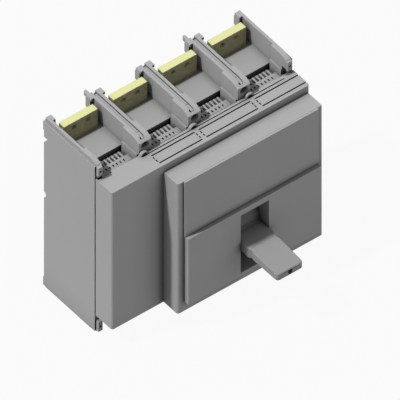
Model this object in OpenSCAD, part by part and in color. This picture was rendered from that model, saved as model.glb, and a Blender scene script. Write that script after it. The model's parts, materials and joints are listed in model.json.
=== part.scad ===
// Four-pole molded case circuit breaker.
// Origin: middle of the rear mounting plane. +X is right seen from the front,
// the front faces -Y and +Z is up. All sizes are in millimetres.

/* [Case] */
// Distance from one pole's middle to the next
pole_pitch = 70; // [68:0.5:76]
// Depth from the mounting plane to the joint between base and front case
base_depth = 93.7; // [90:0.1:98]
// How far the rear corner pads stand proud of the back
pad_proud = 1.5; // [1:0.1:3]
// Half height over the bay walls
wall_half_h = 134; // [132:0.25:138]
// Half height of the flush side faces
side_half_h = 129.25; // [127:0.25:131]
// Half height of the closed contact chambers, which is the bay floor level
floor_half_h = 102.75; // [100:0.25:105]
// Thickness of the chamber end walls under the bay floors
floor_t = 4; // [3:0.5:5]
// Thickness of the rear wall of the chambers
back_t = 5; // [4:0.5:6]
// Thickness of each side wall, half that of the wall between two poles
side_t = 3; // [2.5:0.1:4]
// Depth of the front case
front_case_d = 31.4; // [28:0.1:34]
// Top of the front case above the origin
front_case_top = 112.25; // [110:0.25:114]
// Bottom of the front case below the origin
front_case_low = 103.25; // [103:0.25:106]
// Wall thickness of the front case and the raised cover
shell_t = 4; // [3:0.5:5]

/* [Bays] */
// Half thickness of a bay partition behind its step
thin_half = 6; // [5.5:0.1:7]
// Half thickness of a bay partition in front of its step
thick_half = 9; // [8:0.1:10]
// Depth at which the partitions get thicker
step_y = 66; // [60:0.5:72]
// Half width of the barrier slot in the top of a partition
slot_half = 2.3; // [1.5:0.1:2.6]
// Depth of the barrier slot
slot_depth = 6; // [4:0.25:6.5]
// Height of the mounting screws above and below the origin
mount_z = 122.75; // [121:0.25:123]
// Radius of the mounting screw holes
mount_r = 3.25; // [2.5:0.05:3.5]
// Radius of the tunnel for a mounting screw's head
tunnel_r = 4.5; // [4:0.1:4.6]
// Distance from the joint to the rear edge of the vent recess
vent_d = 30.9; // [29:0.1:32]
// Half width of the vent recess
vent_half = 24.2; // [22:0.1:25]

/* [Terminals] */
// Width of a terminal bar
bar_w = 48; // [40:1:50]
// Thickness of a terminal bar
bar_t = 10; // [8:0.5:12]
// Depth of the rear face of a terminal bar
bar_y = 14.3; // [13:0.1:16]
// Height of the end of a terminal bar
bar_end_z = 130.75; // [128:0.25:132]
// Radius of the holes in a terminal bar
bar_hole_r = 3.4; // [2.5:0.1:4.5]
// Distance between the two holes of a terminal bar
bar_hole_pitch = 20; // [16:1:24]
// Distance of the holes from the end of a terminal bar
bar_hole_in = 8.75; // [7:0.25:12]

/* [Raised cover] */
// Left edge of the raised cover from the middle
raised_left = 67; // [64:0.5:68]
// Margin of the raised cover at the right end
raised_margin = 2.4; // [1:0.1:4]
// Top of the raised cover
raised_top = 101.25; // [99:0.25:104]
// Depth of the raised cover in front of the front case
raised_d = 25.5; // [22:0.1:28]
// Radius of the raised cover's upright front edges
raised_r = 6; // [3:0.5:8]
// Thickness of the upper front panel
upper_panel_t = 2.5; // [1.5:0.1:4]
// Thickness of the lower front panel
lower_panel_t = 7.2; // [5:0.1:9]
// Top edge of the lower front panel
lower_panel_top = 14.75; // [13:0.25:17]
// Bottom edge of the lower front panel, below the origin
lower_panel_low = 88.85; // [87:0.05:92]

/* [Handle] */
// Middle of the handle and of the mechanism
handle_x = 37; // [36:0.5:38]
// Depth of the handle's pivot
handle_y = 90; // [88:0.5:92]
// Depth of the pivot below the origin
handle_low = 38.5; // [37:0.25:40]
// Depth of the handle's tip
handle_tip_y = 221.9; // [210:0.1:230]
// Width of the handle's hub, which stands in the slot
handle_root_w = 38.8; // [36:0.1:39]
// Width of the handle's blade in front of its waist
handle_blade_w = 38; // [36:0.5:39]
// Width of the handle at its tip
handle_tip_w = 37; // [32:0.5:38]
// Thickness of the handle at its tip
handle_tip_t = 9.5; // [8:0.1:11]
// Half of the handle's whole travel in degrees
handle_swing = 22; // [18:1:22]
// Width of the handle slot
handle_slot_w = 39.6; // [39.4:0.1:42]
// Height of the handle slot
handle_slot_h = 90.5; // [88:0.5:92]
// Outer radius of the shutter behind the handle slot
shutter_r = 52.5; // [51:0.1:53]
// Thickness of the shutter
shutter_t = 2.5; // [2:0.1:3]

/* [Contacts] */
// Depth of the contact shaft's axis
shaft_y = 60; // [59:0.5:61]
// Distance of the contact shaft's axis below the origin
shaft_low = 8; // [7:0.5:9]
// Radius of the contact shaft between its journals
shaft_r = 14; // [13:0.25:14]
// Radius of the contact shaft's journals
journal_r = 10; // [8:0.25:11]
// Width of a moving contact arm
arm_w = 12; // [8:0.5:12]
// Distance from the contact shaft's axis up to the contact pads' middle
contact_up = 49; // [47:0.5:51]
// Height of a contact pad
pad_h = 12; // [8:0.5:14]
// Thickness of a contact pad
pad_t = 3; // [2:0.25:3.5]
// Number of plates in an arc chute
chute_plates = 9; // [6:1:9]
// Distance from one arc chute plate to the next
chute_pitch = 5.2; // [4.8:0.1:5.4]
// Thickness of an arc chute plate
chute_plate_t = 2; // [1.5:0.1:2.5]

/* [Mechanism] */
// Half distance between the inner faces of the mechanism's side plates
plate_in = 18; // [17.6:0.1:18.4]
// Thickness of a mechanism side plate
plate_t = 2; // [1.5:0.1:2.4]
// Length of the upper toggle links
upper_link_l = 28; // [27:0.25:29]
// Length of the lower toggle links
lower_link_l = 31; // [30:0.25:32]
// Radius of the toggle and crank pins
toggle_pin_r = 2.5; // [2:0.1:2.8]
// Radius of the cradle's pivot pin
cradle_pin_r = 3; // [2.5:0.1:3.2]

/* [Fits] */
// Running clearance between a pin and its hole, on the radius
run_gap = 0.05; // [0.02:0.01:0.1]
// Clearance between pieces that are only placed together
seat_gap = 0.3; // [0.2:0.05:0.4]

/* [Hidden] */
$fn = 64;

pole_count = 4;
half_w = pole_count * pole_pitch / 2;
pole_x = [for (i = [0 : pole_count - 1]) (i + 0.5) * pole_pitch - half_w];
boundary_x = [for (i = [1 : pole_count - 1]) i * pole_pitch - half_w];
back_y = -pad_proud;
joint_y = -base_depth;
chamber_half = pole_pitch / 2 - side_t;
chamber_back = back_y - back_t;
ceiling_z = floor_half_h - floor_t;
case_front_y = joint_y - front_case_d;
raised_y = case_front_y - raised_d;
upper_y = raised_y - upper_panel_t;
lower_y = raised_y - lower_panel_t;
raised_right = half_w - raised_margin;
eps = 0.02;

// Bay walls: the rear block, the fall of the top edge and the overhang in front
rear_half = 10;
rear_block_y = 10.5;
top_fall = 5;
fall_y = 81.5;
overhang = 2.1;
side_inset = 2.5;
guide_w = 2;
hook_r = 2;
hook_h = 6;
// Pads on the back, ears at the front corners, notches in the side edges
pad_low = 115.75;
middle_pad_half = 15;
ear_x = [[-139, -133], [130, 136.5]];
ear_z = [[117, 131], [-127, -112]];
ear_front = [5.8, 4.5];
ear_hole_r = 1.5;
// Round well behind the right front ear, half in the base and half in the front case
well_pos = [132.5, joint_y + 1.2];
well_r = 6.5;
well_low = 103.25;
well_top = 116.8;
notch_in = 6.5;
notch_z = [105, 96.75, 95.6];
small_notch_z = 14;
small_notch_r = 3.7;
// Vent recess and the insert in it
vent_depth = 10;
vent_y = joint_y + vent_d;
vent_floor = floor_half_h - vent_depth;
vent_skin = 2;
fin_pitch = 5;
fin_t = 2.2;
fin_back_y = -68.8;
strip_y = -77.5;
vent_hole_y = -83;
vent_hole_w = 1.9;
vent_hole_l = 3.4;
// Front case: screws, label fields, bosses and corner pockets
front_roof_t = 9;
screw_r = 1.75;
screw_head_r = 3.3;
screw_head_h = 2.2;
screw_grip = 19;
screw_z = 88;
case_screw_pos = [for (x = [boundary_x[1], boundary_x[2]], z = [-screw_z, screw_z]) [x, z]];
rebate_w = 1.5;
rebate_t = 2.2;
groove_w = 1.6;
groove_t = 4;
label_x = [[-68.3, -7.2], [-1.4, 71.6], [78.1, half_w + 1]];
label_y = [joint_y - 11.3, joint_y - 25.5];
label_tick = 1.7;
label_tick_in = 4.5;
boss_x = [for (i = [0 : 2]) boundary_x[i] + [-4, -4, 5.3][i]];
boss_r = 5.6;
boss_hole_r = 3.2;
pocket_w = 4.7;
pocket_h = 9;
handle_opening_half = 27;
handle_opening_top = 22;
// Raised cover and its panels
raised_right_r = 1;
raised_cavity_in = 10;
upper_panel_in = 8.5;
lower_panel_in = 9.4;
panel_right_in = 6.4;
slot_low = [handle_x - handle_slot_w / 2, -handle_low - handle_slot_h / 2];
slot_high = [handle_x + handle_slot_w / 2, -handle_low + handle_slot_h / 2];
// Narrow part of a terminal bar inside the case
neck_w = 28;
bar_front = -(bar_y + bar_t);
// Contacts
shaft_z = -shaft_low;
contact_z = shaft_z + contact_up;
fixed_pad_front = bar_front - pad_t;
arm_back = fixed_pad_front - seat_gap - pad_t;
arm_lean = 22.6;
arm_half_t = 6.9;
arm_tail = 17;
bearing_half_h = shaft_r + 1;
bearing_back = -(shaft_y - bearing_half_h);
load_bar_inner = 44;
// Arc chutes stand on shelves above the contacts
chute_z = contact_z + 13;
chute_top = vent_floor - floor_t - 2.75;
chute_y = 38;
chute_first = 1.6;
chute_front = -chute_y - chute_plates * chute_pitch;
cheek_in = 24.5;
cheek_t = 4;
shelf_t = 3;
// Current sensors and braids
sensor_half_w = 27;
sensor_front = 42;
sensor_top = 26.75 - ceiling_z;
sensor_bevel = 7;
braid_w = 14;
braid_bend = [-47, -40];
braid_in_r = 12;
braid_out_r = 16;
braid_top = -25.3;
// Trip unit
trip_x0 = 75;
trip_x1 = 132;
trip_top = -18;
trip_slot_w = 5;
trip_slot_pitch = 9;
// Handle in its middle position: top and bottom of hub and blade
hub_front = 171;
waist_front = 174;
waist_half = 17.4;
blade_root = 179;
hub_top = -35.2;
hub_low = -50;
tip_top = -38.5;
tip_r = 4;
tip_hole_r = 2.8;
tip_hole_depth = 12;
shutter_sweep = 62;
// Mechanism
handle_pos = [-handle_y, -handle_low];
shaft_pos = [-shaft_y, shaft_z];
cradle_pos = [-86, -24];
link_pos = [-104, -2];
crank_r = 18;
crank_angle = 110;
crank_pos = shaft_pos + crank_r * [-cos(crank_angle), sin(crank_angle)];
toggle_pos = circles_meet(link_pos, upper_link_l, crank_pos, lower_link_l);
trip_pos = [-108, -66];
trip_rod_r = 3;
yoke_r = 49.5;
yoke_t = 4;
yoke_half = 6;
yoke_leg_in = 21;
yoke_leg_t = 2.4;
pivot_pin_r = 4;
cradle_in = 8.5;
cradle_t = 3;
crank_in = 9;
crank_t = 3;
lower_link_in = 12.4;
link_t = 2;
upper_link_in = 14.8;
link_end_r = 5;
lower_link_end_r = 4.4;

case_grey = [0.64, 0.64, 0.64];
cover_grey = [0.62, 0.62, 0.63];
panel_grey = [0.58, 0.58, 0.59];
dark_grey = [0.3, 0.3, 0.31];
brass_yellow = [0.84, 0.83, 0.58];
steel = [0.72, 0.73, 0.75];
copper = [0.72, 0.45, 0.3];
silver = [0.86, 0.86, 0.84];
moulding = [0.45, 0.36, 0.28];

// Point where a circle round a and one round b meet, on the upper side
function circles_meet(a, ra, b, rb) =
    let (d = norm(b - a), along = (ra * ra - rb * rb + d * d) / (2 * d),
         up = sqrt(ra * ra - along * along), u = (b - a) / d)
    a + along * u + up * [-u[1], u[0]];

// Outline in Y and Z pushed out along X, symmetric about the middle
module across(w) rotate([90, 0, 90]) linear_extrude(height = w, center = true) children();

// The same outline between two positions along X
module across_from(x0, x1) translate([(x0 + x1) / 2, 0, 0]) across(x1 - x0) children();

// The same outline on both sides of the mechanism's middle
module across_pair(inner, t)
    for (s = [-1, 1]) translate([handle_x + s * (inner + t / 2), 0, 0]) across(t) children();

module box(low, high) translate(low) cube(high - low);

module both_ends() for (s = [0, 1]) mirror([0, 0, s]) children();

module both_sides() for (s = [0, 1]) mirror([s, 0, 0]) children();

module at_poles() for (x = pole_x) translate([x, 0, 0]) children();

module at_boundaries() for (x = boundary_x) translate([x, 0, 0]) children();

// Straight bar with round ends, drawn in Y and Z
module link_2d(a, b, r) {
    d = b - a;
    for (p = [a, b]) translate(p) circle(r);
    translate(a) rotate(atan2(d[1], d[0])) translate([0, -r]) square([norm(d), 2 * r]);
}

// Pin along X at a point given in Y and Z
module pin_x(pos, r, x0, x1) translate([x0, pos[0], pos[1]]) rotate([0, 90, 0]) cylinder(r = r, h = x1 - x0);

module bore_y(x, z, r, y0, y1) translate([x, y0, z]) rotate([-90, 0, 0]) cylinder(r = r, h = y1 - y0);

// Plan of a bay partition, with its thick rear block and front part
module partition_plan() {
    front = joint_y - overhang;
    polygon([
        [-rear_half, back_y], [rear_half, back_y], [rear_half, -rear_block_y],
        [thin_half, -rear_block_y], [thin_half, -step_y], [thick_half, -step_y],
        [thick_half, front], [-thick_half, front], [-thick_half, -step_y],
        [-thin_half, -step_y], [-thin_half, -rear_block_y], [-rear_half, -rear_block_y]
    ]);
}

// Side view of a bay wall: the top edge falls in an arc towards the front
module wall_profile() {
    front = joint_y - overhang;
    run = -fall_y - front;
    arc_r = (run * run + top_fall * top_fall) / (2 * top_fall);
    sweep = asin(run / arc_r);
    polygon(concat(
        [[back_y, floor_half_h - 1], [back_y, wall_half_h]],
        [for (i = [0 : 8]) let (turn = i * sweep / 8)
            [-fall_y - arc_r * sin(turn), wall_half_h - arc_r * (1 - cos(turn))]],
        [[front, front_case_top + 0.1], [joint_y, front_case_top + 0.1], [joint_y, floor_half_h - 1]]
    ));
}

module bay_wall() intersection() {
    translate([0, 0, floor_half_h - 1])
        linear_extrude(height = wall_half_h - floor_half_h + 2) partition_plan();
    across(3 * rear_half) wall_profile();
}

// The inner half of a bay wall, standing in from the flush side face
module outer_bay_wall() {
    intersection() {
        translate([half_w, 0, 0]) bay_wall();
        box([0, joint_y - 10, 0], [half_w - side_inset, 0, wall_half_h + 1]);
    }
    box([half_w - side_inset - eps, joint_y, floor_half_h - 1], [half_w, back_y, side_half_h]);
}

// Barrier slot with a round end turned to the left
module barrier_slot() {
    slot_end = joint_y + 3.5;
    translate([0, 0, wall_half_h - slot_depth]) linear_extrude(height = slot_depth + 1) {
        translate([-slot_half, slot_end]) square([2 * slot_half, base_depth]);
        translate([0, slot_end]) circle(slot_half);
        translate([-slot_half, slot_end - 1]) circle(slot_half * 0.7);
    }
}

// Upright guide grooves beside the rear blocks
module guide_grooves() for (s = [-1, 1]) {
    x = s * (rear_half + thin_half) / 2;
    box([x - 2.5, -rear_block_y, floor_half_h], [x + 2.5, -rear_block_y + guide_w, wall_half_h - 4]);
}

// Small hook at the rear of a partition's top edge
module rear_hook() translate([-rear_half + 3.4, 0, wall_half_h - hook_h]) hull()
    for (y = [back_y - hook_h, back_y + 5.5]) translate([0, y, 0]) cylinder(r = hook_r, h = hook_h, $fn = 24);

module mounting_tunnel() {
    bore_y(0, mount_z, mount_r, joint_y - overhang - 1, 1);
    bore_y(0, mount_z, tunnel_r, joint_y - overhang - 1, -rear_block_y - 6);
}

// Feet on the back that touch the mounting plane
module rear_pads() {
    both_ends() {
        at_boundaries() box([-rear_half, back_y - 1, pad_low], [rear_half, 0, side_half_h]);
        both_sides() box([half_w - rear_half, back_y - 1, pad_low], [half_w, 0, side_half_h]);
    }
    box([-rear_half, back_y - 1, -middle_pad_half], [rear_half, 0, middle_pad_half]);
}

// Ears at the front corners of the base, each with a small hole
module front_ears() for (side = [0, 1]) for (z = ear_z) difference() {
    x = ear_x[side];
    y = joint_y - ear_front[side];
    box([x[0], y, z[0]], [x[1], joint_y - overhang + 0.5, z[1]]);
    bore_y((x[0] + x[1]) / 2, (z[0] + z[1]) / 2, ear_hole_r, y - 1, joint_y);
}

module corner_well()
    translate([well_pos[0], well_pos[1], well_low]) cylinder(r = well_r, h = well_top - well_low);

// Notches in the rear edge of the side faces
module side_notches() both_sides() {
    translate([half_w, 0, 0]) across(30) {
        polygon([[1, notch_z[0]], [back_y - notch_in, notch_z[0]], [back_y, notch_z[1]], [1, notch_z[2]]]);
        translate([back_y, small_notch_z]) scale([1, 1.25]) circle(small_notch_r);
    }
}

module chamber_cut() {
    trench_half = pole_pitch / 2 - thin_half - 1;
    neck_half = neck_w / 2 + seat_gap;
    box([-chamber_half, joint_y - 1, -ceiling_z], [chamber_half, chamber_back, vent_floor - floor_t]);
    box([-chamber_half, vent_y + 3, 0], [chamber_half, chamber_back, ceiling_z]);
    box([-vent_half, joint_y - 1, vent_floor], [vent_half, vent_y, floor_half_h + 10]);
    box([-trench_half, -step_y, vent_floor], [trench_half, vent_y, floor_half_h + 10]);
    box([-vent_half + 4, vent_y - 17, 0], [vent_half - 4, vent_y - 3, vent_floor + 1]);
    both_ends() box([-neck_half, bar_front - seat_gap, 0], [neck_half, -bar_y + seat_gap, floor_half_h + 1]);
}

// Seats inside one chamber: bar pedestals and the shelves of the arc chute
module chamber_seats() {
    low = [contact_z - 7, chute_top - 20, sensor_top + 10];
    high = [contact_z + 9, chute_top + 4, sensor_top + 24];
    for (i = [0 : 2]) box([-neck_w / 2, -bar_y, low[i]], [neck_w / 2, chamber_back + 1, high[i]]);
    both_sides() box([cheek_in + 1, chute_front, chute_z - shelf_t], [chamber_half + 1, -chute_y, chute_z]);
}

// Ribs that carry the mechanism's side plates
module mechanism_ribs() for (s = [-1, 1])
    translate([handle_x + s * (plate_in + plate_t / 2), 0, 0])
        box([-2, -shaft_y + 20, -50], [2, chamber_back + 1, -20]);

// Ledges along the foot of the thick walls
module foot_ledges() at_poles() both_sides()
    box([vent_half, joint_y, floor_half_h - 1], [pole_pitch / 2 - thick_half + eps, -step_y, front_case_top]);

// Outline of a shaft bearing block, and of the notch for it
module bearing_block(half_t, front)
    box([-half_t, front, shaft_z - bearing_half_h], [half_t, bearing_back, shaft_z + bearing_half_h]);

module base() color(case_grey) {
    difference() {
        union() {
            box([-half_w, joint_y, -floor_half_h], [half_w, back_y, floor_half_h]);
            both_ends() {
                at_boundaries() bay_wall();
                both_sides() outer_bay_wall();
            }
            rear_pads();
            front_ears();
            foot_ledges();
        }
        at_poles() chamber_cut();
        both_ends() at_boundaries() {
            barrier_slot();
            guide_grooves();
            mounting_tunnel();
        }
        side_notches();
        corner_well();
        at_boundaries() bearing_block(side_t + 1, joint_y - 1);
        for (s = case_screw_pos)
            bore_y(s[0], s[1], screw_r + run_gap, joint_y - 1, joint_y + screw_grip + 1);
    }
    at_poles() chamber_seats();
    mechanism_ribs();
    for (i = [0, 2]) translate([boundary_x[i], 0, 0]) rear_hook();
}

// Long solid with its two upright front edges rounded
module front_rounded(low, high, left_r, right_r) {
    size = high - low;
    translate(low) linear_extrude(height = size[2]) {
        translate([left_r, 0]) square([size[0] - left_r - right_r, size[1]]);
        translate([0, left_r]) square([left_r, size[1] - left_r]);
        translate([size[0] - right_r, right_r]) square([right_r, size[1] - right_r]);
        translate([left_r, left_r]) circle(left_r);
        translate([size[0] - right_r, right_r]) circle(right_r);
    }
}

// Thin grooves round the three label fields on top of the front case
module label_grooves() {
    low = front_case_top - groove_t;
    high = front_case_top + 1;
    half = groove_w / 2;
    for (x = label_x) {
        for (y = label_y) box([x[0], y - half, low], [x[1], y + half, high]);
        for (e = x) for (y = [label_y[0] - label_tick_in, label_y[1] + label_tick_in])
            box([e - half, y - label_tick, low], [e + half, y + label_tick, high]);
    }
    box([-half_w + pole_pitch - 6, joint_y - 6.8, low], [half_w - 16, joint_y - 5.6, high]);
}

// Half-round boss round each upper cover screw, standing on the top edge
module cover_boss(x) difference() {
    bore_y(x, front_case_top, boss_r, joint_y - 6.4, joint_y - 2.4);
    bore_y(x, front_case_top, boss_hole_r, joint_y - 7, joint_y - 1);
}

// Pockets in the rear top corners of the front case
module corner_pockets() {
    low = front_case_top - pocket_h;
    box([-half_w + 1.5, joint_y - pocket_w, low], [-half_w + 21, joint_y + 1, front_case_top + 1]);
    translate([well_pos[0], well_pos[1], low]) cylinder(r = well_r, h = pocket_h + 1);
    at_boundaries() box([-8, joint_y - 2.2, front_case_top - 6], [7, joint_y + 1, front_case_top + 1]);
}

// Groove all round the joint between base and front case
module joint_rebate() difference() {
    box([-half_w - 1, joint_y - rebate_w, -front_case_low - 1], [half_w + 1, joint_y + 1, front_case_top + 1]);
    box([-half_w + rebate_t, joint_y - 2, -front_case_low + rebate_t],
        [half_w - rebate_t, joint_y + 2, front_case_top - rebate_t]);
}

module front_case() color(cover_grey) {
    wall = shell_t;
    inner_y = case_front_y + wall;
    difference() {
        front_rounded([-half_w, case_front_y, -front_case_low], [half_w, joint_y, front_case_top], 3, 3);
        at_poles() box([-chamber_half, inner_y, -front_case_low + wall],
            [chamber_half, joint_y + 1, front_case_top - front_roof_t]);
        box([handle_x - handle_opening_half, case_front_y - 1, -ceiling_z + 1],
            [handle_x + handle_opening_half, inner_y + 1, handle_opening_top]);
        box([trip_x0 - 1, case_front_y - 1, -front_case_low + wall], [trip_x1 + 1, inner_y + 1, trip_top + 1]);
        pin_x(trip_pos, trip_rod_r + 1, boundary_x[2] - side_t - 1, boundary_x[2] + side_t + 1);
        for (s = case_screw_pos) bore_y(s[0], s[1], screw_r + run_gap, case_front_y - 1, joint_y + 1);
        label_grooves();
        corner_pockets();
        joint_rebate();
        for (x = boss_x) bore_y(x, front_case_top, boss_hole_r, joint_y - 7, joint_y + 1);
    }
    for (x = boss_x) cover_boss(x);
    bore_y(-half_w + 17.5, front_case_top - 3.4, 3, joint_y - 4.8, joint_y - 2);
}

// Slot for the handle through everything between two depths
module handle_slot(y0, y1) box([slot_low[0], y0, slot_low[1]], [slot_high[0], y1, slot_high[1]]);

// Raised cover over the three right poles
module raised_cover() color(cover_grey) {
    wall = shell_t;
    difference() {
        front_rounded([-raised_left, raised_y, -front_case_low],
            [raised_right, case_front_y, raised_top], raised_r, raised_right_r);
        box([-raised_left + raised_cavity_in, raised_y + wall, -front_case_low + wall],
            [raised_right - wall, case_front_y + 1, raised_top - wall]);
        handle_slot(raised_y - 1, raised_y + wall + 1);
    }
}

// Upper panel: a thin flat plate over the upper part of the raised cover
module upper_panel() color(panel_grey)
    box([-raised_left + upper_panel_in, upper_y, lower_panel_top],
        [raised_right - panel_right_in, raised_y, raised_top]);

// Lower panel: a thicker plate round the handle slot
module lower_panel() color(panel_grey) difference() {
    front_rounded([-raised_left + lower_panel_in, lower_y, -lower_panel_low],
        [raised_right - panel_right_in, raised_y, lower_panel_top], 2, 1);
    handle_slot(lower_y - 1, raised_y + 1);
}

// Insert of one pole's vent: fins behind a flat strip with a row of small holes
module vent_comb(n) translate([pole_x[n - 1], 0, 0]) color(case_grey) {
    half = vent_half - seat_gap;
    front = joint_y + seat_gap;
    top = floor_half_h - 1;
    count = floor((2 * half - 2 * fin_t) / fin_pitch);
    difference() {
        union() {
            box([-half, front, vent_floor], [half, vent_y - seat_gap, vent_floor + vent_skin]);
            box([-half, front, vent_floor], [half, strip_y, top]);
            for (i = [0 : count - 1]) {
                x = (i - (count - 1) / 2) * fin_pitch;
                box([x - fin_t / 2, strip_y - 1, vent_floor], [x + fin_t / 2, fin_back_y, top]);
            }
        }
        for (i = [0 : count]) {
            x = (i - count / 2) * fin_pitch;
            gap = (fin_pitch - fin_t) / 2;
            box([x - gap, strip_y, vent_floor - 1], [x + gap, fin_back_y, vent_floor + vent_skin + 1]);
        }
        for (i = [0 : count - 2]) translate([(i - (count - 2) / 2) * fin_pitch, vent_hole_y, top])
            cube([vent_hole_w, vent_hole_l, 12], center = true);
    }
}

// Terminal bar: wide and drilled in the bay, narrow inside the case
module terminal_bar(inner_z) difference() {
    union() {
        box([-bar_w / 2, bar_front, floor_half_h], [bar_w / 2, -bar_y, bar_end_z]);
        box([-neck_w / 2, bar_front, inner_z], [neck_w / 2, -bar_y, floor_half_h + eps]);
    }
    for (x = [-bar_hole_pitch / 2, bar_hole_pitch / 2])
        bore_y(x, bar_end_z - bar_hole_in, bar_hole_r, bar_front - 1, -bar_y + 1);
}

module line_terminal(n) color(brass_yellow)
    translate([pole_x[n - 1], 0, 0]) terminal_bar(contact_z - pad_h);

module load_terminal(n) color(brass_yellow)
    translate([pole_x[n - 1], 0, 0]) mirror([0, 0, 1]) terminal_bar(load_bar_inner);

module fixed_contacts() color(silver) at_poles()
    box([-arm_w / 2 - 1, fixed_pad_front, contact_z - pad_h / 2],
        [arm_w / 2 + 1, bar_front, contact_z + pad_h / 2]);

// Insulating side cheeks of the four arc chutes, standing on the shelves
module arc_chute_cheeks() color(moulding) at_poles() both_sides()
    box([cheek_in, chute_front, chute_z], [cheek_in + cheek_t, -chute_y, chute_top]);

// Stack of steel plates, each with a notch over the path of the contact arm
module arc_plates(n) translate([pole_x[n - 1], 0, 0]) color(steel) {
    notch_half = arm_w / 2 + 2;
    for (i = [0 : chute_plates - 1]) {
        y = -chute_y - chute_first - i * chute_pitch;
        translate([0, y, 0]) rotate([90, 0, 0]) linear_extrude(height = chute_plate_t) polygon([
            [-cheek_in, chute_z], [-notch_half, chute_z], [-notch_half + 3, chute_z + 12], [0, chute_z + 16],
            [notch_half - 3, chute_z + 12], [notch_half, chute_z], [cheek_in, chute_z],
            [cheek_in, chute_top - 2], [-cheek_in, chute_top - 2]
        ]);
    }
}

// Ring that measures one pole's current, standing on the chamber floor
module current_sensor(n) translate([pole_x[n - 1], 0, 0]) color(dark_grey) difference() {
    window_half = neck_w / 2 + seat_gap;
    bevel_x = sensor_half_w - sensor_bevel;
    bevel_y = sensor_bevel - sensor_front;
    translate([0, 0, -ceiling_z]) linear_extrude(height = sensor_top + ceiling_z) polygon([
        [-sensor_half_w, chamber_back - 0.2], [-sensor_half_w, bevel_y], [-bevel_x, -sensor_front],
        [bevel_x, -sensor_front], [sensor_half_w, bevel_y], [sensor_half_w, chamber_back - 0.2]
    ]);
    box([-window_half, bar_front - seat_gap, -ceiling_z - 1], [window_half, -bar_y + seat_gap, sensor_top + 1]);
}

// Woven flexible lead from the load bar up to the tail of the contact arm
module braid(n) translate([pole_x[n - 1], 0, 0]) color(copper) across(braid_w) {
    r = [braid_in_r, braid_out_r];
    translate([braid_bend[0] - r[1], braid_bend[1]]) square([r[1] - r[0], braid_top - braid_bend[1]]);
    translate([braid_bend[0], braid_bend[1] - r[1]])
        square([bar_front - seat_gap - braid_bend[0], r[1] - r[0]]);
    intersection() {
        translate(braid_bend) difference() { circle(r[1]); circle(r[0]); }
        translate(braid_bend - [r[1], r[1]]) square(r[1]);
    }
}

// Electronic trip unit behind the right part of the lower panel
module trip_unit() color(dark_grey) difference() {
    box([trip_x0, raised_y + shell_t + seat_gap, -front_case_low + shell_t],
        [trip_x1, joint_y - 2.3, trip_top]);
    pin_x(trip_pos, trip_rod_r + 0.6, trip_x0 - 1, trip_x0 + 6);
    for (i = [0 : 4]) translate([trip_x0 + 8 + trip_slot_pitch * i, raised_y, -70])
        cube([trip_slot_w, shell_t + 2.3, 30]);
}

// Bearing blocks that close the slots in the walls between the poles
module shaft_bearings() color(moulding) at_boundaries() difference() {
    bearing_block(side_t, joint_y);
    pin_x(shaft_pos, journal_r + run_gap, -side_t - 1, side_t + 1);
}

// Side plate of the mechanism, cut back round the swing of the handle's shutter
module mechanism_plate() across(plate_t) difference() {
    union() {
        translate([-92, -55]) square([92 - shaft_y + 20, 89]);
        translate(handle_pos) circle(41);
    }
    translate(shaft_pos) circle(shaft_r + 1.2);
    translate(handle_pos) circle(pivot_pin_r + run_gap);
    translate(cradle_pos) circle(cradle_pin_r + run_gap);
    translate(trip_pos) circle(trip_rod_r + run_gap);
    for (p = [[-50, 24], [-84, 24], [-50, -45]]) translate(p) circle(2.5);
}

module side_plate_left() color(steel) translate([handle_x - plate_in - plate_t / 2, 0, 0]) mechanism_plate();

module side_plate_right() color(steel) translate([handle_x + plate_in + plate_t / 2, 0, 0]) mechanism_plate();

module handle_pivot_pins() color(steel) for (s = [-1, 1]) {
    inner = handle_x + s * plate_in;
    outer = handle_x + s * (yoke_leg_in + yoke_leg_t + 0.8);
    pin_x(handle_pos, pivot_pin_r, min(inner, outer), max(inner, outer));
}

module cradle_pivot_pin() color(steel)
    pin_x(cradle_pos, cradle_pin_r, handle_x - plate_in - plate_t, handle_x + plate_in + plate_t);

module case_screws() color(steel) for (s = case_screw_pos) {
    bore_y(s[0], s[1], screw_r, case_front_y, joint_y + screw_grip);
    difference() {
        bore_y(s[0], s[1], screw_head_r, case_front_y - screw_head_h, case_front_y);
        translate([s[0], case_front_y - screw_head_h, s[1]]) cube([5, 1.2, 0.8], center = true);
    }
}

// Side view of the handle's hub and blade in the middle position
module handle_profile() {
    shutter_y = handle_pos[0] - shutter_r + 1;
    tip_low = tip_top - handle_tip_t;
    polygon([
        [shutter_y, hub_top], [-hub_front, hub_top],
        [-handle_tip_y + 0.8, tip_top], [-handle_tip_y, tip_top - 0.8],
        [-handle_tip_y, tip_low + 0.8], [-handle_tip_y + 0.8, tip_low],
        [-blade_root, tip_low], [-hub_front, hub_low], [shutter_y, hub_low]
    ]);
}

// Top view of the handle: hub, waist, and the blade with its round corners
module handle_plan() {
    hub_half = handle_root_w / 2;
    blade_half = handle_blade_w / 2;
    tip_half = handle_tip_w / 2;
    end = -handle_tip_y + tip_r;
    for (s = [0, 1]) mirror([s, 0]) {
        polygon([
            [0, -handle_y], [hub_half, -handle_y], [hub_half, -hub_front],
            [waist_half, -waist_front], [blade_half, -blade_root], [tip_half, end],
            [tip_half - tip_r, end], [tip_half - tip_r, -handle_tip_y], [0, -handle_tip_y]
        ]);
        translate([tip_half - tip_r, end]) circle(tip_r);
    }
}

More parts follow.
